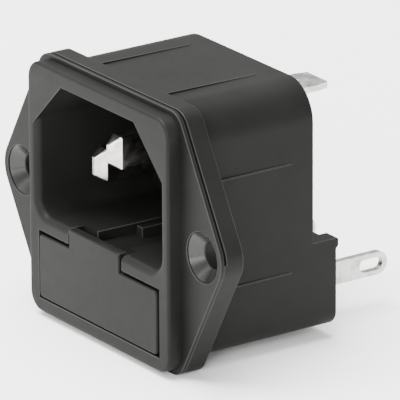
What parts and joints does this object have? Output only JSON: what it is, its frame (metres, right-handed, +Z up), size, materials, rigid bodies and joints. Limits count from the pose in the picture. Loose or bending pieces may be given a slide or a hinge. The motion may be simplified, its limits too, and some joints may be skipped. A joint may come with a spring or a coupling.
{
  "type": "fused c14 panel inlet socket",
  "caption": "Panel-mount C14 mains inlet with a screw flange, recessed contact pins, a pull-out fuse drawer below the plug opening and solder tabs at the back.",
  "frame": {"origin": "on the panel face of the flange, midway between the two screw holes", "axes": "+X to the right seen from the front, +Y backwards through the panel towards the solder tabs, +Z up towards the earth pin"},
  "size_m": [0.0434, 0.035, 0.0312],
  "materials": {
    "black_plastic": "fine moulded",
    "nickel_plate": "bright nickel plate",
    "tinned_brass": "satin tin plate",
    "fuse_cap": "bright nickel plate",
    "fuse_glass": "clear",
    "fuse_wire": "drawn wire"
  },
  "bodies": {
    "inlet": {"front_frame": "black_plastic", "housing": "black_plastic", "terminal_carrier": "black_plastic", "line_pin": "nickel_plate", "neutral_pin": "nickel_plate", "earth_pin": "nickel_plate", "line_link": "nickel_plate", "neutral_link": "nickel_plate", "line_terminal": "tinned_brass", "neutral_terminal": "tinned_brass", "earth_terminal": "tinned_brass"},
    "drawer": {"fuse_drawer": "black_plastic", "line_fuse_glass": "fuse_glass", "line_fuse_front_cap": "fuse_cap", "line_fuse_rear_cap": "fuse_cap", "line_fuse_wire": "fuse_wire", "neutral_fuse_glass": "fuse_glass", "neutral_fuse_front_cap": "fuse_cap", "neutral_fuse_rear_cap": "fuse_cap", "neutral_fuse_wire": "fuse_wire"}
  },
  "joints": [
    {"name": "drawer_slide", "type": "slide", "parent": "inlet", "child": "drawer", "axis": [0, -1, 0], "range_m": [0, 0.024]}
  ]
}
